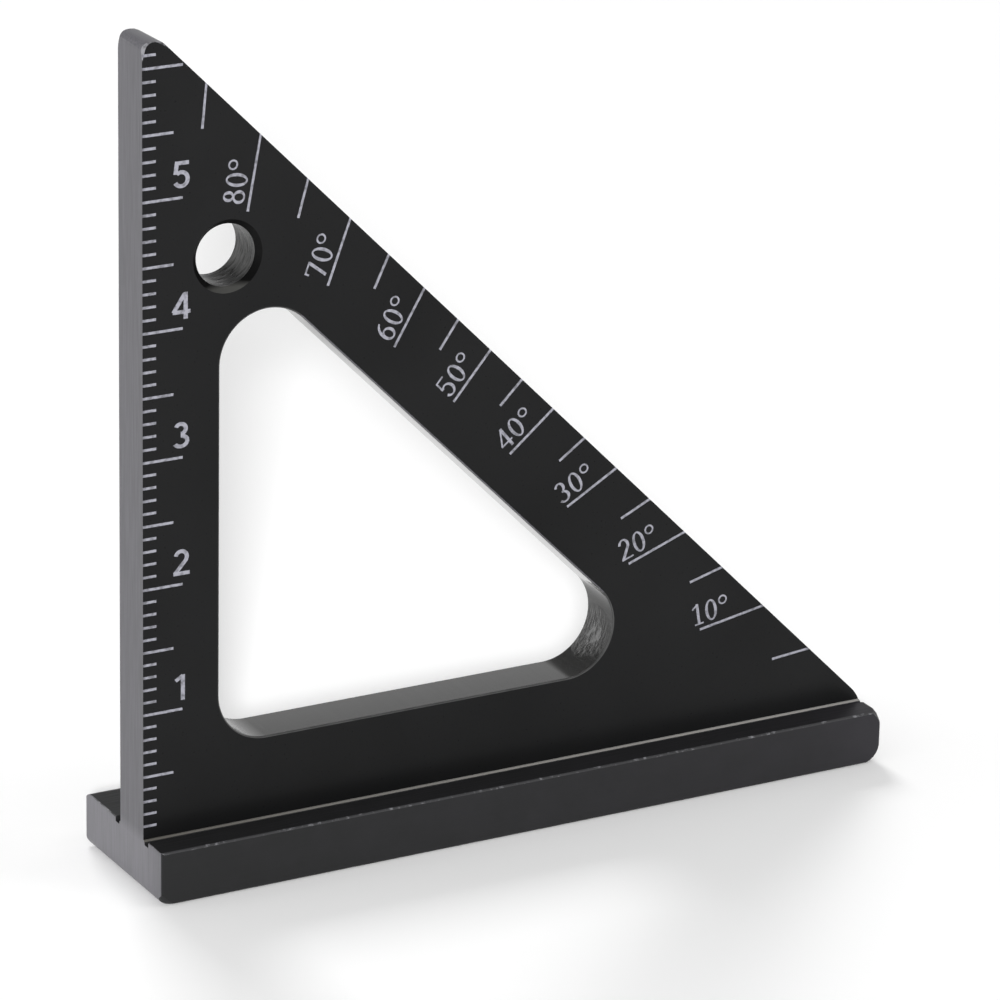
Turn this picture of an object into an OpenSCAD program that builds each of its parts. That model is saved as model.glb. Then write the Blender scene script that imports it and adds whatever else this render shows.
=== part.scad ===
// Pocket layout square: a triangular blade standing on a fence, one piece of black anodised aluminium
// with a filled millimetre rule and protractor on the front and an inch rule on the reverse.
// Standing frame: X runs along the fence, Y from the front ledge to the back ledge, Z up.
// The rule's own corner, where the blade's upright edge meets the top of the fence, is x = 0, y = 0, z = 0
// inside the modules; the last placement moves the origin to the middle of the fence's underside.

/* [Blade] */
// length of both legs, measured from the rule's corner
leg = 63.5; // [50:0.5:90]
// thickness of the blade
blade_t = 4.0; // [3:0.1:6]
// radius of the top point
tip_r = 0.9; // [0.4:0.1:2]
// radius where the long edge turns down the fence's end
heel_r = 3.3; // [1:0.1:5]

/* [Fence] */
// height of the fence under the rule's zero
fence_h = 4.4; // [3:0.1:8]
// width of the ledge in front of the blade
front_ledge = 3.1; // [2:0.1:8]
// width of the ledge behind the blade
back_ledge = 6.3; // [3:0.1:12]
// radius of the lower corner at the square end
toe_r = 0.8; // [0.2:0.1:2]
// radius of the lower corner at the far end
far_toe_r = 2.0; // [0.2:0.1:3]
// radius along the lower back edge
back_low_r = 1.2; // [0.1:0.1:1.5]
// radius along the upper back edge
back_top_r = 1.0; // [0.1:0.1:1.5]
// radius along the lower front edge
front_low_r = 0.4; // [0.1:0.1:1]
// radius along the upper front edge
front_top_r = 0.15; // [0.05:0.05:0.5]

/* [Relief slots] */
// width of the slot between the blade's foot and each ledge
slot_w = 0.65; // [0.3:0.05:1]
// depth of the slot under the top of the fence
slot_d = 0.4; // [0.2:0.05:1]
// how far the unmilled foot of the blade stands out from its faces
foot = 0.2; // [0.1:0.05:0.5]
// depth of the foot's bevel below the rule's zero
foot_drop = 0.06; // [0:0.02:0.2]

/* [Window] */
// distance from the upright edge to the window
upright_land = 6.3; // [4:0.1:12]
// distance from the top of the fence to the window
lower_land = 6.5; // [4:0.1:12]
// distance from the long edge to the window, square to the edge
long_land = 7.8; // [5:0.1:14]
// radius of the window's three corners
window_r = 4.0; // [2:0.1:8]
// width of the broken edge round the window
window_break = 0.12; // [0.05:0.01:0.4]

/* [Hang hole] */
// diameter of the hang hole
hole_d = 4.8; // [3:0.1:6]
// distance from the upright edge to the hole's centre
hole_x = 6.9; // [5:0.1:12]
// distance from the point of the two edges down to the hole's centre
hole_drop = 18.5; // [14:0.1:24]
// width of the countersink on both faces
hole_break = 0.42; // [0.1:0.02:0.8]

/* [Millimetre rule] */
// depth of every filled mark
mark_d = 0.05; // [0.02:0.01:0.2]
// width of every scale line
line_w = 0.21; // [0.15:0.01:0.4]
// length of the millimetre lines
mm_len = 1.1; // [0.8:0.1:2]
// length of the five-millimetre lines
half_len = 2.5; // [1.5:0.1:4]
// length of the centimetre lines
cm_len = 3.25; // [2:0.05:6]
// clear length left unmarked under the top point
rule_end = 2.4; // [2:0.1:6]
// height of the rule's numerals
numeral_h = 2.05; // [1.5:0.05:3]
// width of the rule's numerals, as a share of their height
numeral_wide = 0.7; // [0.5:0.02:0.9]
// stroke of the rule's numerals
numeral_w = 0.3; // [0.2:0.02:0.5]
// distance from the upright edge to the numerals
numeral_x = 2.45; // [1:0.05:6]
// distance from a line up to its numeral
numeral_up = 0.72; // [0.3:0.02:1]

/* [Protractor] */
// depth of the ten-degree lines, square to the long edge
ten_depth = 4.8; // [3:0.1:7]
// depth of the odd five-degree lines, square to the long edge
five_depth = 2.62; // [1:0.02:5]
// height of the degree numerals
label_h = 1.8; // [1.2:0.1:3]
// heavy stroke of the degree numerals
label_w = 0.24; // [0.15:0.01:0.4]
// light stroke of the degree numerals
label_thin = 0.14; // [0.1:0.01:0.3]
// distance from the steepest ten-degree line's inner end out to its numeral
label_in = 0.5; // [0.2:0.05:1]
// how much further in the numeral of each line below it starts
label_step = 0.16; // [0:0.02:0.3]
// distance from a ten-degree line to its numeral
label_gap = 0.42; // [0.2:0.01:1]
// outer diameter of the degree ring
ring_d = 0.8; // [0.5:0.05:1.2]

/* [Reverse inch rule] */
// length of the sixteenth-inch lines
sixteenth_len = 1.1; // [0.8:0.1:2]
// length of the eighth-inch lines
eighth_len = 1.7; // [1:0.1:3]
// length of the quarter-inch lines
quarter_len = 2.3; // [1.5:0.1:4]
// length of the half-inch lines
half_inch_len = 2.9; // [2:0.1:5]
// length of the inch lines
inch_len = 3.6; // [2:0.1:6]
// distance from the upright edge to the inch numerals
inch_numeral_x = 4.0; // [2:0.1:7]

/* [Hidden] */
depth_front = -front_ledge;
depth_back = blade_t + back_ledge;
origin_shift = [-leg / 2, -(depth_front + depth_back) / 2, fence_h];
long_inset = long_land * sqrt(2);
window_sum = leg - long_inset;
corner_run = window_r * (1 + sqrt(2));
window_corners = [
    [upright_land + window_r, lower_land + window_r],
    [window_sum - lower_land - corner_run, lower_land + window_r],
    [upright_land + window_r, window_sum - upright_land - corner_run]
];
mm_count = floor(leg - rule_end);
inch = 25.4;
sixteenth_count = floor((leg - rule_end) * 16 / inch);
digit_wide = 0.62;
label_pitch = 0.71 * label_h;
label_count = 8;
over = 1;
hair = 0.0005;
anodise = [0.12, 0.12, 0.13];
fill = [0.78, 0.78, 0.83];
$fn = 72;

// Unit vector at an angle.
function dir(a) = [cos(a), sin(a)];

// Takes the sharp corner p off a 2D shape with radius r; the two edges leave p at angles a and b.
// The arc is a hair over size, so that it crosses both edges and leaves no sliver where it would touch them.
module round_off(p, a, b, r) {
    half = (b - a) / 2;
    middle = (a + b) / 2;
    run = r / tan(half);
    centre = p + r / sin(half) * dir(middle);
    difference() {
        polygon([p - over * dir(middle), p + run * dir(a), centre, p + run * dir(b)]);
        translate(centre) circle(r = r + hair);
    }
}

// Stands a shape drawn in x and z between two depths, front first.
module upright(y0, y1) {
    translate([0, y1, 0]) rotate([90, 0, 0]) linear_extrude(height = y1 - y0) children();
}

// Side outline: upright edge, rounded point, long edge and the fence's two ends.
module outline() {
    difference() {
        polygon([[0, -fence_h], [leg, -fence_h], [leg, 0], [0, leg]]);
        round_off([0, -fence_h], 0, 90, toe_r);
        round_off([leg, -fence_h], 90, 180, far_toe_r);
        round_off([leg, 0], 135, 270, heel_r);
        round_off([0, leg], 270, 315, tip_r);
    }
}

// One side of the profile, from the blade's face out along the ledge; mirrored for the other side.
module ledge_side(width, low_r, top_r) {
    difference() {
        polygon([
            [-over, -fence_h], [width, -fence_h], [width, 0], [foot + slot_w, 0],
            [foot + slot_w, -slot_d], [foot, -slot_d], [foot, -foot_drop - foot], [0, -foot_drop],
            [-over, -foot_drop]
        ]);
        round_off([width, -fence_h], 90, 180, low_r);
        round_off([width, 0], 180, 270, top_r);
    }
}

// Extruded T profile, drawn in y and z.
module profile() {
    translate([blade_t, 0]) ledge_side(back_ledge, back_low_r, back_top_r);
    mirror([1, 0]) ledge_side(front_ledge, front_low_r, front_top_r);
    translate([0, -fence_h]) square([blade_t, leg + fence_h + over]);
}

// Triangular window with three equal corner radii.
module window_shape() {
    right = [window_sum - lower_land, lower_land];
    top = [upright_land, window_sum - upright_land];
    difference() {
        polygon([[upright_land, lower_land], right, top]);
        round_off([upright_land, lower_land], 0, 90, window_r);
        round_off(right, 135, 180, window_r);
        round_off(top, 270, 315, window_r);
    }
}

// Broken edge round the window at the face at depth 0: a bevel along each side and a cone at each corner.
module window_rim() {
    outside = window_r + 2 * window_break;
    inside = window_r - window_break;
    for (i = [0:2]) {
        c = window_corners[i];
        along = window_corners[(i + 1) % 3] - c;
        translate([c[0], -window_break, c[1]]) {
            rotate([-90, 0, 0]) cylinder(h = outside - inside, r1 = outside + hair, r2 = inside + hair);
            rotate([0, -atan2(along[1], along[0]), 0]) rotate([90, 0, 90]) linear_extrude(height = norm(along))
                polygon([[0, -outside], [outside - inside, -inside], [0, -inside]]);
        }
    }
}

// Hang hole with a countersink on both faces.
module hang_hole() {
    translate([hole_x, 0, leg - hole_drop]) rotate([-90, 0, 0]) {
        translate([0, 0, -over]) cylinder(h = blade_t + 2 * over, d = hole_d);
        translate([0, 0, -hole_break])
            cylinder(h = 2 * hole_break, d1 = hole_d + 4 * hole_break, d2 = hole_d);
        translate([0, 0, blade_t - hole_break])
            cylinder(h = 2 * hole_break, d1 = hole_d, d2 = hole_d + 4 * hole_break);
    }
}

// Straight stroke from p to q.
module bar(p, q, w) {
    d = q - p;
    translate(p) rotate(atan2(d[1], d[0])) translate([0, -w / 2]) square([norm(d), w]);
}

// Closed oval stroke, w wide at its sides and thin at its top and foot.
module oval(c, rx, ry, w, thin) {
    translate(c) difference() {
        scale([rx, ry]) circle(r = 1, $fn = 32);
        scale([rx - w, ry - thin]) circle(r = 1, $fn = 32);
    }
}

// Part of an oval stroke, from angle a to angle b.
module bowl(c, rx, ry, w, thin, a, b) {
    steps = 6;
    intersection() {
        oval(c, rx, ry, w, thin);
        polygon([c, for (i = [0:steps]) c + over * dir(a + (b - a) * i / steps)]);
    }
}

// One numeral in a box 0.62 wide and 1 tall; w and t are its heavy and light strokes.
module digit(n, w, t, serif) {
    if (n == 0) oval([0.31, 0.5], 0.29, 0.5, w, t);
    if (n == 1) {
        bar([0.36, 0], [0.36, 1], w);
        bar([0.1, 0.78], [0.36, 0.96], t);
        if (serif) bar([0.14, t / 2], [0.58, t / 2], t);
    }
    if (n == 2) {
        bowl([0.3, 0.7], 0.27, 0.3, w, t, -38, 165);
        bar([0.49, 0.6], [0.07, t / 2], w);
        bar([0.02, t / 2], [0.6, t / 2], t);
    }
    if (n == 3) {
        bowl([0.28, 0.74], 0.25, 0.26, w, t, -90, 155);
        bowl([0.28, 0.275], 0.3, 0.275, w, t, -155, 90);
    }
    if (n == 4) {
        bar([0.45, 0], [0.45, 1], w);
        bar([0.42, 0.95], [0.02, 0.27], t);
        bar([0, 0.27], [0.62, 0.27], t);
    }
    if (n == 5) {
        bar([0.12, 1 - t / 2], [0.56, 1 - t / 2], t);
        bar([0.15, 1], [0.09, 0.52], t);
        bowl([0.29, 0.33], 0.3, 0.33, w, t, -150, 128);
    }
    if (n == 6) {
        oval([0.32, 0.31], 0.28, 0.31, w, t);
        bowl([0.6, 0.36], 0.56, 0.64, w, t, 100, 182);
    }
    if (n == 7) {
        bar([0.04, 1 - t / 2], [0.6, 1 - t / 2], t);
        bar([0.55, 0.96], [0.25, 0.03], w);
        if (serif) bar([0.06, 1], [0.04, 0.78], t);
    }
    if (n == 8) {
        oval([0.31, 0.755], 0.23, 0.245, w, t);
        oval([0.31, 0.28], 0.29, 0.28, w, t);
    }
}

// Plain numeral of the rules, its lower left corner at the origin.
module rule_digit(n) {
    scale([numeral_wide / digit_wide, 1]) scale(numeral_h)
        digit(n, numeral_w / numeral_h, numeral_w / numeral_h, false);
}

// Numerals of a degree line: tens, nought and degree ring, reading outwards along the line.
module degree_label(tens) {
    scale(label_h) digit(tens, label_w / label_h, label_thin / label_h, true);
    translate([label_pitch, 0]) scale(label_h) digit(0, label_w / label_h, label_thin / label_h, true);
    translate([2 * label_pitch + ring_d / 2, label_h - ring_d / 2]) difference() {
        circle(d = ring_d, $fn = 24);
        circle(d = ring_d - 2 * label_thin, $fn = 24);
    }
}

// Horizontal line from the upright edge at a height.
module rule_line(z, length) {
    translate([0, z - line_w / 2]) square([length, line_w]);
}

module millimetre_lines() {
    for (i = [1:mm_count]) if (i % 5 != 0) rule_line(i, mm_len);
}

module five_millimetre_lines() {
    for (i = [5:10:mm_count]) rule_line(i, half_len);
}

module centimetre_lines() {
    for (i = [10:10:mm_count]) rule_line(i, cm_len);
}

module centimetre_digits() {
    for (i = [1:floor(mm_count / 10) - 1]) translate([numeral_x, 10 * i + numeral_up]) rule_digit(i);
}

// Distance from the rule's corner to the long edge, less a depth square to that edge, along an angle.
function reach(a, depth) = (leg - depth * sqrt(2)) / (cos(a) + sin(a));

// Radial line of the protractor, its inner end at a depth and its outer end on the long edge.
module radial_line(a, depth) {
    intersection() {
        rotate(a) translate([reach(a, depth), -line_w / 2]) square([leg, line_w]);
        polygon([[0, 0], [leg, 0], [0, leg]]);
    }
}

module five_degree_lines() {
    for (a = [5:10:85]) radial_line(a, five_depth);
}

module ten_degree_lines() {
    for (i = [1:label_count]) radial_line(10 * i, ten_depth);
}

module degree_digits() {
    for (i = [1:label_count]) rotate(10 * i)
        translate([reach(10 * i, ten_depth) + label_in - (label_count - i) * label_step, label_gap])
            degree_label(i);
}

module inch_fine_lines() {
    for (i = [1:sixteenth_count]) if (i % 4 != 0) rule_line(i * inch / 16, i % 2 == 0 ? eighth_len : sixteenth_len);
}

module inch_main_lines() {
    for (i = [4:4:sixteenth_count])
        rule_line(i * inch / 16, i % 16 == 0 ? inch_len : i % 8 == 0 ? half_inch_len : quarter_len);
}

// Mirrored, so that they read from behind the blade.
module inch_digits() {
    for (i = [1:floor(sixteenth_count / 16)])
        translate([inch_numeral_x + numeral_wide * numeral_h, i * inch - numeral_h / 2]) mirror([1, 0])
            rule_digit(i);
}

// Every mark on the front face, as drawn.
module front_marks() {
    millimetre_lines();
    five_millimetre_lines();
    centimetre_lines();
    centimetre_digits();
    five_degree_lines();
    ten_degree_lines();
    degree_digits();
}

// Every mark on the reverse face, as drawn.
module reverse_marks() {
    inch_fine_lines();
    inch_main_lines();
    inch_digits();
}

// Fill of front marks, flush with the face.
module front_fill() {
    color(fill) upright(0, mark_d) children();
}

// Fill of reverse marks, flush with the face.
module reverse_fill() {
    color(fill) upright(blade_t - mark_d, blade_t) children();
}

module square_body() {
    color(anodise) difference() {
        intersection() {
            rotate([90, 0, 90]) linear_extrude(height = leg) profile();
            upright(depth_front - over, depth_back + over) outline();
        }
        upright(-over, blade_t + over) window_shape();
        window_rim();
        translate([0, blade_t, 0]) mirror([0, 1, 0]) window_rim();
        hang_hole();
        upright(-over, mark_d) front_marks();
        upright(blade_t - mark_d, blade_t + over) reverse_marks();
    }
}

module millimetre_marks() { front_fill() millimetre_lines(); }

module five_millimetre_marks() { front_fill() five_millimetre_lines(); }

module centimetre_marks() { front_fill() centimetre_lines(); }

module centimetre_numerals() { front_fill() centimetre_digits(); }

module five_degree_marks() { front_fill() five_degree_lines(); }

module ten_degree_marks() { front_fill() ten_degree_lines(); }

module degree_numerals() { front_fill() degree_digits(); }

module inch_fine_marks() { reverse_fill() inch_fine_lines(); }

module inch_main_marks() { reverse_fill() inch_main_lines(); }

module inch_numerals() { reverse_fill() inch_digits(); }

translate(origin_shift) {
    square_body();
    millimetre_marks();
    five_millimetre_marks();
    centimetre_marks();
    centimetre_numerals();
    five_degree_marks();
    ten_degree_marks();
    degree_numerals();
    inch_fine_marks();
    inch_main_marks();
    inch_numerals();
}
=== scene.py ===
import bpy
import bmesh
import math
from mathutils import Matrix, Vector


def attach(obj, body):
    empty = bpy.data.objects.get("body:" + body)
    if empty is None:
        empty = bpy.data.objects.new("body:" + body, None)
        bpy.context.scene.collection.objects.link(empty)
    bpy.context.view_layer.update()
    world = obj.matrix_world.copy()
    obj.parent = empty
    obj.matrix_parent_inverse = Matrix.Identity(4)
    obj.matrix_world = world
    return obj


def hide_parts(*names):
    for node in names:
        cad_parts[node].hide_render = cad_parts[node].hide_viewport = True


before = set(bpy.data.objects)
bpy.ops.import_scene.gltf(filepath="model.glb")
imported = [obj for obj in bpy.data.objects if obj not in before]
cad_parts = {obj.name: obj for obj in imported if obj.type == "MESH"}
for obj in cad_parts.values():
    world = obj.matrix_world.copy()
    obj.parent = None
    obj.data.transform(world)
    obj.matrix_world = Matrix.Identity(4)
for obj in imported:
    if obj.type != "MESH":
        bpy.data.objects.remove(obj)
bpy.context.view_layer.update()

# Camera: a long lens in front of the square, about 45 cm away, to its left and above it. The lens
# points at the middle of the picture, with no shift.
bpy.ops.object.camera_add(
    location=(-0.206634, -0.36977, 0.183178),
    rotation=(math.radians(69.5427), math.radians(-1.1148), math.radians(-28.819)),
)
camera = bpy.context.object
camera.data.sensor_width = 36.0
camera.data.lens = 212.02
camera.data.clip_start = 0.01
camera.data.clip_end = 20.0
bpy.context.scene.camera = camera
bpy.context.scene.view_settings.view_transform = "Standard"


# Sweep: a plain white floor under an even sky, lit by softboxes, as in a small product studio. The
# floor glows a little where it is seen, so it shows white and keeps the square's shadow. The sky
# that the metal mirrors is brightest low down behind the square.
def new_material(name):
    material = bpy.data.materials.new(name)
    material.use_nodes = True
    tree = material.node_tree
    return material, tree, tree.nodes["Principled BSDF"]


def add(tree, kind, inputs=None, **settings):
    node = tree.nodes.new(kind)
    for key, value in settings.items():
        setattr(node, key, value)
    for key, value in (inputs or {}).items():
        if isinstance(value, bpy.types.NodeSocket):
            tree.links.new(value, node.inputs[key])
        else:
            node.inputs[key].default_value = value
    return node


def calc(tree, operation, a, b=0.0, clamp=False):
    node = add(tree, "ShaderNodeMath", {0: a, 1: b}, operation=operation, use_clamp=clamp)
    return node.outputs[0]


def remap(tree, value, low, high, to_low, to_high):
    ends = {"Value": value, "From Min": low, "From Max": high, "To Min": to_low, "To Max": to_high}
    return add(tree, "ShaderNodeMapRange", ends).outputs[0]


FLOOR_SIZE = 6.0
FLOOR_GLOW = 0.05
WHITE = (1, 1, 1, 1)
floor_mesh = bpy.data.meshes.new("floor")
bm = bmesh.new()
bmesh.ops.create_grid(bm, x_segments=1, y_segments=1, size=FLOOR_SIZE / 2)
bm.to_mesh(floor_mesh)
bm.free()
floor = bpy.data.objects.new("floor", floor_mesh)
bpy.context.collection.objects.link(floor)
floor_paint, tree, shader = new_material("floor_paint")
shader.inputs["Base Color"].default_value = (0.95, 0.95, 0.95, 1)
shader.inputs["Roughness"].default_value = 0.9
shader.inputs["Specular IOR Level"].default_value = 0.0
shader.inputs["Emission Color"].default_value = WHITE
path = add(tree, "ShaderNodeLightPath").outputs
seen = calc(tree, "MAXIMUM", path["Is Camera Ray"], path["Is Glossy Ray"])
seen = calc(tree, "MAXIMUM", seen, path["Is Transmission Ray"])
tree.links.new(calc(tree, "MULTIPLY", seen, FLOOR_GLOW), shader.inputs["Emission Strength"])
floor_mesh.materials.append(floor_paint)


def glow(tree, strength):
    return add(tree, "ShaderNodeBackground", {"Color": WHITE, "Strength": strength}).outputs[0]


SKY_LIGHT = 0.38
world = bpy.data.worlds.new("studio")
bpy.context.scene.world = world
world.use_nodes = True
tree = world.node_tree
tree.nodes.clear()
path = add(tree, "ShaderNodeLightPath").outputs
sky_way = add(tree, "ShaderNodeTexCoord").outputs["Generated"]
towards = add(tree, "ShaderNodeSeparateXYZ", {0: sky_way}).outputs
low_down = remap(tree, towards["Z"], 0.40, 0.47, 1.0, 0.12)
behind = remap(tree, towards["Y"], -0.2, 0.3, 0.30, 1.0)
mirrored_sky = glow(tree, calc(tree, "MULTIPLY", low_down, behind))
seen = calc(tree, "MAXIMUM", path["Is Camera Ray"], path["Is Transmission Ray"])
sky = add(tree, "ShaderNodeMixShader", {0: seen, 1: glow(tree, SKY_LIGHT), 2: glow(tree, 1.0)})
sky = {0: path["Is Glossy Ray"], 1: sky.outputs[0], 2: mirrored_sky}
sky = add(tree, "ShaderNodeMixShader", sky)
add(tree, "ShaderNodeOutputWorld", {"Surface": sky.outputs[0]})

AIM = Vector((0, 0, 0.03))  # where the lamps point, in the middle of the blade


def softbox(name, place, size, power, mirrored=True):
    lamp = bpy.data.lights.new(name, "AREA")
    lamp.shape = "RECTANGLE"
    lamp.size, lamp.size_y = size
    lamp.energy = power
    holder = bpy.data.objects.new(name, lamp)
    bpy.context.collection.objects.link(holder)
    holder.location = place
    holder.visible_glossy = mirrored
    holder.rotation_mode = "QUATERNION"
    holder.rotation_quaternion = (AIM - Vector(place)).to_track_quat("-Z", "Y")


softbox("back_softbox", (0.22, 1.30, 1.05), (0.55, 0.55), 12.5, mirrored=False)
softbox("front_softbox", (0.60, -0.44, 1.13), (0.40, 0.40), 1.1)
softbox("left_softbox", (-1.20, 0.20, 0.70), (0.80, 0.80), 2.0)
softbox("camera_lamp", (-0.640, -1.145, 0.519), (0.08, 0.08), 16.0, mirrored=False)

# Blank: a length of T-shaped aluminium extrusion, its ends and long edge milled and its corners
# rounded. It is worked in millimetres from the rule's zero, where the upright edge meets the top of
# the fence: x runs along the fence, y from the blade's front face to its back, and z up the blade.
RULE_ZERO = Vector((-31.75, -3.6, 4.4))  # in the frame
LEG = 63.5
BLADE = 4.0
FENCE = 4.4
FRONT, BACK = -3.1, 10.3  # outer faces of the two ledges
FOOT, FOOT_DROP = 0.2, 0.06  # the blade's foot stands out from it, just under the fence's top
SLOT, SLOT_DEPTH = 0.65, 0.4  # relief slot in each ledge, beside the foot
FRONT_TOP, FRONT_LOW, BACK_TOP, BACK_LOW = 0.15, 0.4, 1.0, 1.2  # radii along the fence
TIP, HEEL, FAR_TOE, TOE = 0.95, 3.3, 1.6, 0.8  # radii of the outline's corners
END_EASE = 0.28  # hand easing of the ends' edges
SHARP = 1 + math.sqrt(2)  # how far a radius of 1 runs back from a corner of 45 degrees
TIP_AT = (TIP, LEG - TIP * SHARP)
HEEL_AT = (LEG - HEEL, -HEEL / SHARP)
FAR_TOE_AT = (LEG - FAR_TOE, FAR_TOE - FENCE)
TOE_AT = (TOE, TOE - FENCE)
# Degrees round the point, and how far hand work has flattened it at each.
DUBBED = ((135, 0.03), (120, 0.08), (107, 0.13), (95, 0.17), (83, 0.17), (71, 0.13), (60, 0.07))
DUB_LEAN = 0.02
# The ways in which the front's two sharpest corners are rubbed round.
TOE_WAYS = (
    (-0.55, -0.30, -0.75), (-0.35, -0.55, -0.75), (-0.45, -0.60, -0.45), (-0.70, -0.30, -0.50),
)
HEEL_WAYS = (
    (0.68, -0.27, 0.68), (0.62, -0.47, 0.62), (0.50, -0.70, 0.50), (0.75, -0.50, 0.43),
)
HEEL_RUB, HEEL_RUB_IN = 0.45, 0.75


# Cuts off what lies beyond a plane, and closes the cut.
def slice_off(bm, point, normal):
    everything = bm.verts[:] + bm.edges[:] + bm.faces[:]
    cut = bmesh.ops.bisect_plane(
        bm, geom=everything, dist=1e-4, plane_co=point, plane_no=normal, clear_outer=True
    )
    rim = [g for g in cut["geom_cut"] if isinstance(g, bmesh.types.BMEdge)]
    bmesh.ops.edgenet_fill(bm, edges=rim)


# Rounds a corner of the outline through the whole thickness, from one angle to another.
def round_corner(bm, at, radius, start, stop, steps):
    step = (stop - start) / steps
    flat = radius * math.cos(math.radians(step / 2))
    for i in range(steps):
        a = math.radians(start + (i + 0.5) * step)
        normal = Vector((math.cos(a), 0, math.sin(a)))
        slice_off(bm, Vector((at[0], 0, at[1])) + normal * flat, normal)


# Rounds the edge between a rounded corner and the face at depth y = face.
def ease_side(bm, at, radius, start, stop, steps, face, side):
    for i in range(steps + 1):
        a = math.radians(start + (stop - start) * i / steps)
        out = Vector((math.cos(a), 0, math.sin(a)))
        centre = Vector((at[0], face - side * END_EASE, at[1])) + out * (radius - END_EASE)
        for lean in (22, 45, 68):
            b = math.radians(lean)
            normal = out * math.cos(b) + Vector((0, side * math.sin(b), 0))
            slice_off(bm, centre + normal * END_EASE, normal)


def round_point(bm, centre, radius, normals):
    for normal in normals:
        normal = Vector(normal).normalized()
        slice_off(bm, Vector(centre) + normal * radius, normal)


# Makes a solid of a flat outline.
def draw_through(bm, outline, along):
    face = bm.faces.new([bm.verts.new(corner) for corner in outline])
    drawn = bmesh.ops.extrude_face_region(bm, geom=[face])["geom"]
    far_end = [g for g in drawn if isinstance(g, bmesh.types.BMVert)]
    bmesh.ops.translate(bm, verts=far_end, vec=along)
    bmesh.ops.recalc_face_normals(bm, faces=bm.faces)


def quarter(y, z, radius, start, steps):
    angles = [math.radians(start + 90 * i / steps) for i in range(steps + 1)]
    return [(0, y + radius * math.cos(a), z + radius * math.sin(a)) for a in angles]


def as_object(bm, name):
    mesh = bpy.data.meshes.new(name)
    bm.to_mesh(mesh)
    bm.free()
    made = bpy.data.objects.new(name, mesh)
    bpy.context.collection.objects.link(made)
    return made


# The relief slot beside the blade, from the blade's face outwards, with the foot's rounded top.
def ledge_slot(face, side):
    foot = quarter(0, -FOOT_DROP - FOOT, FOOT, 0, 4)[::-1]
    steps = [(y, z) for x, y, z in foot]
    steps += [(FOOT, -SLOT_DEPTH), (FOOT + SLOT, -SLOT_DEPTH), (FOOT + SLOT, 0)]
    return [(0, face + side * out, z) for out, z in steps]


bm = bmesh.new()
outline = quarter(FRONT + FRONT_LOW, FRONT_LOW - FENCE, FRONT_LOW, 180, 6)
outline += quarter(BACK - BACK_LOW, BACK_LOW - FENCE, BACK_LOW, 270, 10)
outline += quarter(BACK - BACK_TOP, -BACK_TOP, BACK_TOP, 0, 10)
outline += ledge_slot(BLADE, 1)[::-1] + [(0, BLADE, LEG + 1), (0, 0, LEG + 1)] + ledge_slot(0, -1)
outline += quarter(FRONT + FRONT_TOP, -FRONT_TOP, FRONT_TOP, 90, 5)
draw_through(bm, outline, (LEG, 0, 0))
slice_off(bm, Vector((LEG, 0, 0)), Vector((1, 0, 1)).normalized())
round_corner(bm, TIP_AT, TIP, 45, 180, 16)
round_corner(bm, HEEL_AT, HEEL, 0, 45, 12)
round_corner(bm, FAR_TOE_AT, FAR_TOE, -90, 0, 12)
round_corner(bm, TOE_AT, TOE, 180, 270, 8)
for face, side in ((FRONT, -1), (BACK, 1)):
    ease_side(bm, HEEL_AT, HEEL, 0, 40, 6, face, side)
    ease_side(bm, FAR_TOE_AT, FAR_TOE, -80, 0, 6, face, side)
    ease_side(bm, TOE_AT, TOE, 180, 260, 6, face, side)
for face, side in ((0, -1), (BLADE, 1)):
    ease_side(bm, TIP_AT, TIP, 165, 60, 9, face, side)
for angle, depth in DUBBED:
    a = math.radians(angle)
    flat = Vector((math.cos(a), DUB_LEAN, math.sin(a))).normalized()
    slice_off(bm, Vector((TIP_AT[0], 0, TIP_AT[1])) + flat * (TIP - depth), flat)
round_point(bm, (TOE, FRONT + TOE, TOE - FENCE), TOE, TOE_WAYS)
round_point(bm, (LEG - HEEL_RUB_IN, FRONT + HEEL_RUB, -HEEL_RUB), HEEL_RUB, HEEL_WAYS)
body = as_object(bm, "square_body_worked")

# Window and hang hole: both go right through the aluminium blade. The triangular window is milled,
# with three equal corners and an even land along each edge. The hole near the point is drilled.
LONG_LAND = 7.8
WINDOW_X, WINDOW_Z = 6.3, 6.5
WINDOW_SUM = LEG - LONG_LAND * math.sqrt(2)  # x + z along its long side
WINDOW_R = 4.0
HOLE_X, HOLE_Z, HOLE_R = 6.9, 45.0, 2.4
THROUGH = 1  # how far a cutter reaches past each face of the blade


def carve(block, cutter):
    cut = block.modifiers.new("cut", "BOOLEAN")
    cut.operation = "DIFFERENCE"
    cut.solver = "EXACT"
    cut.object = cutter
    graph = bpy.context.evaluated_depsgraph_get()
    carved = bpy.data.meshes.new_from_object(block.evaluated_get(graph))
    block.modifiers.clear()
    block.data = carved
    bpy.data.objects.remove(cutter)


bm = bmesh.new()
window_end, window_top = WINDOW_SUM - WINDOW_Z, WINDOW_SUM - WINDOW_X
corners = [(WINDOW_X, WINDOW_Z), (window_end, WINDOW_Z), (WINDOW_X, window_top)]
draw_through(bm, [(x, -THROUGH, z) for x, z in corners], (0, BLADE + 2 * THROUGH, 0))
square_corner = (WINDOW_X + WINDOW_R, WINDOW_Z + WINDOW_R)
right_corner = (window_end - WINDOW_R * SHARP, WINDOW_Z + WINDOW_R)
top_corner = (WINDOW_X + WINDOW_R, window_top - WINDOW_R * SHARP)
round_corner(bm, square_corner, WINDOW_R, 180, 270, 20)
round_corner(bm, right_corner, WINDOW_R, -90, 45, 30)
round_corner(bm, top_corner, WINDOW_R, 45, 180, 30)
carve(body, as_object(bm, "window_cutter"))

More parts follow.
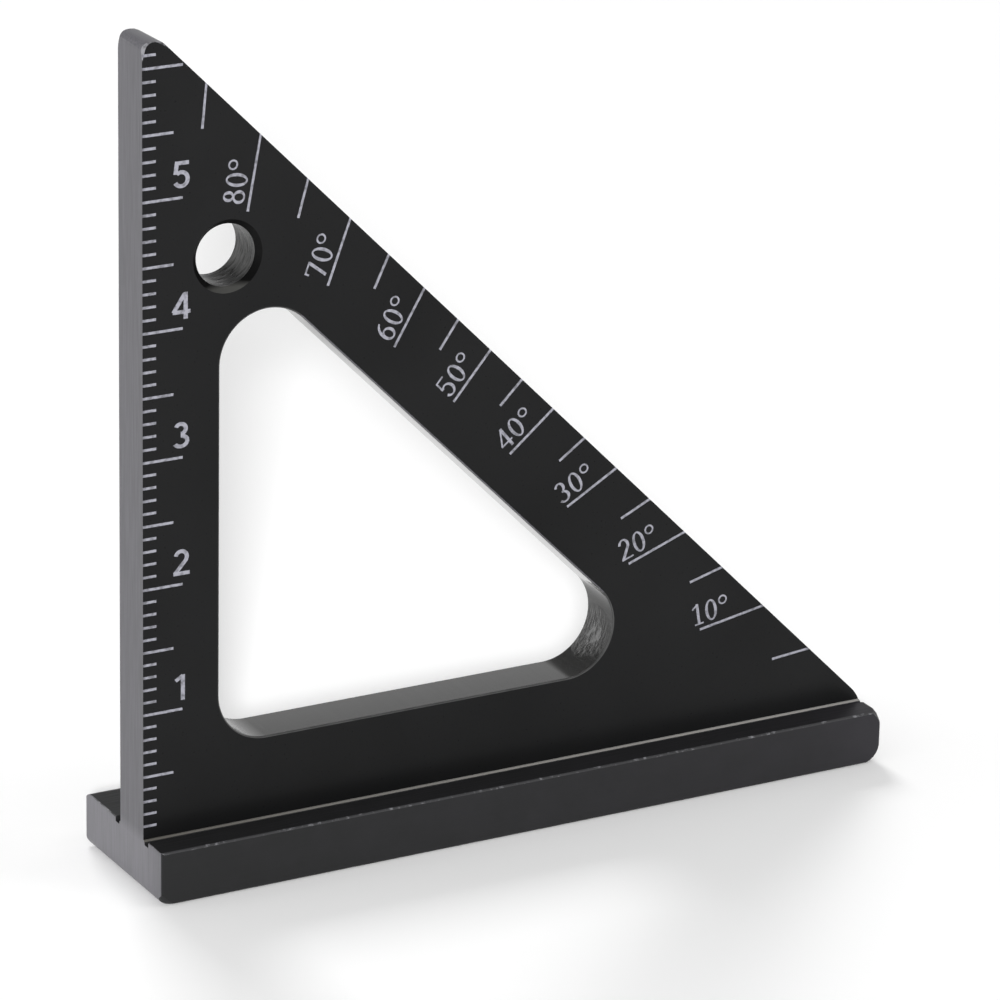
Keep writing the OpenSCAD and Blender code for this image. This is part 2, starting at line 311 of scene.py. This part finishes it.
bm = bmesh.new()
drill = Matrix.Translation((HOLE_X, BLADE / 2, HOLE_Z)) @ Matrix.Rotation(math.radians(90), 4, "X")
bmesh.ops.create_cone(
    bm, cap_ends=True, segments=96, radius1=HOLE_R, radius2=HOLE_R, depth=BLADE + 2 * THROUGH,
    matrix=drill,
)
carve(body, as_object(bm, "drill"))

# Edges: the window's are broken with a tool and the hang hole's are countersunk, on both faces. The
# ends of the two ledges are eased by hand, the far one more.
WINDOW_BREAK, COUNTERSINK = 0.12, 0.42
NEAR_END_BREAK, FAR_END_BREAK = 0.08, 0.28
FAR_END = LEG - 0.6

bm = bmesh.new()
bm.from_mesh(body.data)
bmesh.ops.remove_doubles(bm, verts=bm.verts, dist=1e-4)
bmesh.ops.dissolve_limit(bm, angle_limit=math.radians(0.05), verts=bm.verts, edges=bm.edges)


def ease(test, width, segments):
    edges = [
        e for e in bm.edges
        if e.calc_face_angle(0) > math.radians(30) and all(test(*v.co) for v in e.verts)
    ]
    bmesh.ops.bevel(
        bm, geom=edges, offset=width, offset_type="OFFSET", segments=segments, profile=0.5,
        affect="EDGES", material=-1, clamp_overlap=False,
    )


def near(a, b):
    return abs(a - b) < 1e-3


def in_window(x, z):
    inside_short_sides = x > WINDOW_X - 0.1 and z > WINDOW_Z - 0.1
    under_hole = z < HOLE_Z - HOLE_R - 1
    return inside_short_sides and under_hole and x + z < WINDOW_SUM + 0.1


def at_hole(x, z, past=0.01):
    return math.hypot(x - HOLE_X, z - HOLE_Z) < HOLE_R + past


def on_ledge(y):
    return y < 0.01 - FOOT - SLOT or y > BLADE + FOOT + SLOT - 0.01


for face in (0, BLADE):
    ease(lambda x, y, z: near(y, face) and in_window(x, z), WINDOW_BREAK, 2)
    ease(lambda x, y, z: near(y, face) and at_hole(x, z), COUNTERSINK, 1)
ease(lambda x, y, z: near(x, 0) and near(z, 0) and on_ledge(y), NEAR_END_BREAK, 2)
ease(lambda x, y, z: x > FAR_END and near(z, 0) and on_ledge(y), FAR_END_BREAK, 3)

# Marks: the scales are engraved a twentieth of a millimetre deep in both faces and filled flush.
# The body is first brought to the frame's metres, and each recess is cut by the fill that lies in it.
to_rule = Matrix.Scale(1000, 4)
to_rule.translation = -RULE_ZERO
bmesh.ops.transform(bm, matrix=to_rule.inverted(), verts=bm.verts)
bm.to_mesh(body.data)
bm.free()

fills = [node for name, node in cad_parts.items() if name != "square_body"]
bm = bmesh.new()
for node in fills:
    bm.from_mesh(node.data)
bmesh.ops.remove_doubles(bm, verts=bm.verts, dist=1e-7)
PAST = 0.00005  # metres by which the engraver stands out of the faces that it cuts
for v in bm.verts:
    x, y, z = to_rule @ v.co
    v.co.y += PAST * (near(y, BLADE) - near(y, 0))
    v.co.x -= PAST * near(x, 0)
    if abs(x + z - LEG) < 2e-3:
        v.co += Vector((PAST, 0, PAST))
carve(body, as_object(bm, "engraver"))


# Finish: black anodise over the whole square. The blade's faces are the smoothest and the milled ends
# and edges the palest. The cutter left chatter in the window, and thin edges have worn pale. Some
# light is painted in too: the fence's end paler over the lit floor, the milled faces darker towards
# the front, a sheen along the fence, a highlight on the foot and the point, a reflection in the
# countersinks.
# Places and relief are in millimetres, and a grain's numbers say how often it repeats in a metre.
def place(tree):
    return add(tree, "ShaderNodeTexCoord").outputs["Object"]


RIGHT, BACKWARD, UP = Vector((1, 0, 0)), Vector((0, 1, 0)), Vector((0, 0, 1))
TO_LONG_EDGE = RIGHT + UP


# Goes from one value to another between two places along a way from the rule's zero.
def fade(tree, way, start, end, before, after):
    distance = add(tree, "ShaderNodeVectorMath", {0: place(tree), 1: way}, operation="DOT_PRODUCT")
    start, end = [(mark + way.dot(RULE_ZERO)) / 1000 for mark in (start, end)]
    return remap(tree, distance.outputs["Value"], start, end, before, after)


def grain(tree, scale, detail=2.0, turn=0):
    turned = {"Vector": place(tree), "Rotation": (0, math.radians(turn), 0)}
    turned = add(tree, "ShaderNodeMapping", turned).outputs[0]
    stretched = add(tree, "ShaderNodeMapping", {"Vector": turned, "Scale": scale}).outputs[0]
    noise = {"Vector": stretched, "Scale": 1.0, "Detail": detail}
    return add(tree, "ShaderNodeTexNoise", noise).outputs[0]


def tint(tree, shader, factor, dark, pale):
    mix = add(tree, "ShaderNodeMix", {"Factor": factor}, data_type="RGBA")
    mix.inputs["A"].default_value = (*dark, 1)
    mix.inputs["B"].default_value = (*pale, 1)
    tree.links.new(mix.outputs["Result"], shader.inputs["Base Color"])


def emboss(tree, shader, pattern, height):
    relief = {"Height": pattern, "Distance": height / 1000, "Strength": 1.0}
    tree.links.new(add(tree, "ShaderNodeBump", relief).outputs[0], shader.inputs["Normal"])


def roughen(tree, shader, pattern, smooth, rough, height):
    tree.links.new(remap(tree, pattern, 0.3, 0.7, smooth, rough), shader.inputs["Roughness"])
    emboss(tree, shader, pattern, height)


blade_anodise, tree, shader = new_material("blade_anodise")
clouds = remap(tree, grain(tree, (60, 60, 60)), 0.3, 0.7, 0, 1)
tint(tree, shader, clouds, (0.0066, 0.0067, 0.0069), (0.0104, 0.0105, 0.0109))
roughen(tree, shader, grain(tree, (5000, 5000, 5000), 3), 0.27, 0.33, 0.0003)
shader.inputs["Specular IOR Level"].default_value = 0.11

MILLING = (9000, 5000, 260)
milled_anodise, tree, shader = new_material("milled_anodise")
on_long_edge = fade(tree, TO_LONG_EDGE, LEG - 0.15, LEG - 0.05, 0, 1)
off_long_edge = calc(tree, "SUBTRACT", 1.0, on_long_edge)
along_edge = calc(tree, "MULTIPLY", grain(tree, MILLING, 4, turn=45), on_long_edge)
upwards = calc(tree, "MULTIPLY", grain(tree, MILLING, 4), off_long_edge)
streaks = calc(tree, "ADD", along_edge, upwards)
# Painted light: the fence's end is painted paler, as lit by the bright floor just below it, and the
# milled faces are painted darker towards the front, where less light reaches them. The milling
# streaks are their own.
fence_end_painted_floor_light = fade(tree, UP, -0.4, 0.6, 0.52, 0.0)
painted_shade_frontwards = fade(tree, BACKWARD, 0.6, FRONT, 0.0, -0.32)
streaks_and_painted_light = calc(tree, "ADD", remap(tree, streaks, 0.3, 0.7, 0, 0.55), fence_end_painted_floor_light)
streaks_and_painted_light = calc(tree, "ADD", streaks_and_painted_light, painted_shade_frontwards, True)
tint(tree, shader, streaks_and_painted_light, (0.064, 0.063, 0.072), (0.176, 0.172, 0.190))
roughen(tree, shader, streaks, 0.36, 0.50, 0.003)

CHATTER_AT = Vector((40.05, 2.3, 8.8))  # in the window's right corner
CHATTER_FULL, CHATTER_END = 0.8, 2.4
window_anodise, tree, shader = new_material("window_anodise")
brushed = grain(tree, (5000, 150, 5000), 3)
spot = (CHATTER_AT + RULE_ZERO) / 1000
from_spot = add(tree, "ShaderNodeVectorMath", {0: place(tree), 1: spot}, operation="DISTANCE")
struck = remap(tree, from_spot.outputs["Value"], CHATTER_FULL / 1000, CHATTER_END / 1000, 1, 0)
chatter = calc(tree, "MULTIPLY", grain(tree, (3200, 3200, 800), 2), struck)
scuffed = remap(tree, chatter, 0.42, 0.62, 0, 1)
worked = calc(tree, "ADD", remap(tree, brushed, 0.35, 0.65, 0, 0.1), scuffed, True)
tint(tree, shader, worked, (0.015, 0.015, 0.0145), (0.135, 0.135, 0.135))
emboss(tree, shader, chatter, 0.36)
burnished = fade(tree, TO_LONG_EDGE, WINDOW_SUM - 2.62, WINDOW_SUM - 0.32, 0.0, 0.12)
brushed_rough = remap(tree, brushed, 0.3, 0.7, 0.14, 0.22)
tree.links.new(calc(tree, "SUBTRACT", brushed_rough, burnished), shader.inputs["Roughness"])

drilled_anodise, tree, shader = new_material("drilled_anodise")
torn = grain(tree, (900, 3200, 900), 5)
up_the_wall = fade(tree, UP, HOLE_Z - 2.2, HOLE_Z - 1.2, 0.15, 1.0)
scored = calc(tree, "MULTIPLY", remap(tree, torn, 0.35, 0.65, 0, 1), up_the_wall)
tint(tree, shader, scored, (0.004, 0.004, 0.004), (0.085, 0.085, 0.083))
roughen(tree, shader, torn, 0.20, 0.45, 0.06)
shader.inputs["Specular IOR Level"].default_value = 0.2

countersunk_anodise, tree, shader = new_material("countersunk_anodise")
# Painted reflection: the countersink's lower side is painted paler, standing in for the light it
# mirrors.
painted_reflection_below = fade(tree, UP, HOLE_Z - 2.1, HOLE_Z - 2.5, 0, 1)
tint(tree, shader, painted_reflection_below, (0.004, 0.004, 0.004), (0.055, 0.055, 0.052))
roughen(tree, shader, grain(tree, (3000, 3000, 3000), 3), 0.30, 0.45, 0.003)
shader.inputs["Specular IOR Level"].default_value = 0.08

fence_anodise, tree, shader = new_material("fence_anodise")
# Painted sheen: the fence is painted paler towards its right end and at the heel, for the light it
# catches there. The mottle is its own tone.
painted_sheen_rightwards = fade(tree, RIGHT, 1.75, LEG - 1.75, 0, 0.5)
painted_sheen_at_heel = fade(tree, RIGHT, LEG - 7.75, LEG - 0.75, 0, 0.5)
mottle = remap(tree, grain(tree, (500, 500, 500), 4), 0.3, 0.7, -0.12, 0.12)
mottle_and_painted_sheen = calc(tree, "ADD", calc(tree, "ADD", painted_sheen_rightwards, painted_sheen_at_heel), mottle, True)
tint(tree, shader, mottle_and_painted_sheen, (0.0200, 0.0202, 0.0208), (0.0290, 0.0280, 0.0315))
roughen(tree, shader, grain(tree, (220, 7000, 7000), 3), 0.40, 0.55, 0.0015)
shader.inputs["Specular IOR Level"].default_value = 0.12

worn_and_highlit_edge, tree, shader = new_material("worn_and_highlit_edge")
nicks = grain(tree, (2600, 2600, 2600), 4)
at_end = fade(tree, RIGHT, 0.05, 0.55, 0.14, 0.0)
# Partly wear, partly painted highlight: the point is painted paler for the light it catches as well
# as for its wear. The nicks and the bare left end are wear.
point_wear_and_highlight = fade(tree, UP, LEG - 3.9, LEG - 2.7, 0.0, 0.20)
nicks_wear_and_highlight = calc(tree, "ADD", calc(tree, "ADD", nicks, at_end), point_wear_and_highlight)
nicks_wear_and_highlight = remap(tree, nicks_wear_and_highlight, 0.55, 0.80, 0, 1)
tint(tree, shader, nicks_wear_and_highlight, (0.044, 0.044, 0.046), (0.24, 0.24, 0.255))
roughen(tree, shader, nicks, 0.38, 0.55, 0.006)
shader.inputs["Specular IOR Level"].default_value = 0.25

broken_edge, tree, shader = new_material("broken_edge")
tint(tree, shader, grain(tree, (900, 900, 900), 4), (0.012, 0.012, 0.012), (0.075, 0.075, 0.075))
roughen(tree, shader, grain(tree, (3000, 3000, 3000), 3), 0.30, 0.45, 0.002)

# Painted highlight: the foot's rounded top is painted pale as the line of light it catches,
# brightening towards the right end.
foot_painted_highlight, tree, shader = new_material("foot_painted_highlight")
painted_sheen_rightwards = fade(tree, RIGHT, -0.25, LEG - 11.75, 0, 1)
tint(tree, shader, painted_sheen_rightwards, (0.095, 0.090, 0.080), (0.27, 0.263, 0.25))
roughen(tree, shader, grain(tree, (400, 9000, 9000), 3), 0.28, 0.40, 0.002)

finishes = [blade_anodise, milled_anodise, window_anodise, drilled_anodise, countersunk_anodise]
finishes += [fence_anodise, worn_and_highlit_edge, broken_edge, foot_painted_highlight]
for material in finishes:
    body.data.materials.append(material)
bm = bmesh.new()
bm.from_mesh(body.data)
for f in bm.faces:
    f.smooth = True
    x, y, z = to_rule @ f.calc_center_median()
    n = f.normal
    on_blade, slanted = z > 0, abs(n.y) > 0.05
    fence_top_front = y < FRONT + FRONT_TOP and z > -FRONT_TOP and n.z > 0.1
    if on_blade and abs(n.y) > 0.95:
        finish = blade_anodise
    elif on_blade and at_hole(x, z, 1):
        finish = countersunk_anodise if slanted else drilled_anodise
    elif on_blade and in_window(x, z):
        finish = broken_edge if slanted else window_anodise
    elif z > LEG - 3.5 and abs(n.y) > 0.3:  # eased edge round the point
        finish = worn_and_highlit_edge
    elif on_blade or n.x < -0.9:
        finish = milled_anodise
    # the top of the foot carries the painted highlight
    elif -FOOT - 0.01 < y < BLADE + FOOT + 0.01 and z > -FOOT_DROP - FOOT / 2:
        finish = foot_painted_highlight
    elif z > -0.1 and x < 0.1 or fence_top_front:
        finish = worn_and_highlit_edge
    elif n.x < -0.4 and abs(n.y) < 0.2:  # rounded end of the fence
        finish = milled_anodise
    else:
        finish = fence_anodise
    f.material_index = finishes.index(finish)
for e in bm.edges:
    e.smooth = e.calc_face_angle(0) < math.radians(25)
bm.to_mesh(body.data)
bm.free()
flat_faces = body.modifiers.new("flat_faces", "WEIGHTED_NORMAL")
flat_faces.weight = 100
flat_faces.keep_sharp = True
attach(body, "root")
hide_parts("square_body")

# Fill: the pale matt paint that lies flush in every engraved line and numeral, on both faces. It is
# thin and patchy, and rubbed thinner where the rule's lines run out on the upright edge.
mark_paint, tree, shader = new_material("mark_paint")
patches = grain(tree, (2500, 2500, 2500), 4)
rubbed = fade(tree, RIGHT, 0, 0.35, 0.35, 1.0)
covered = calc(tree, "MULTIPLY", remap(tree, patches, 0.32, 0.55, 0.2, 1.0), rubbed)
tint(tree, shader, covered, (0.09, 0.09, 0.10), (0.31, 0.31, 0.355))
roughen(tree, shader, patches, 0.6, 0.9, 0.008)
for node in fills:
    node.data.materials[0] = mark_paint
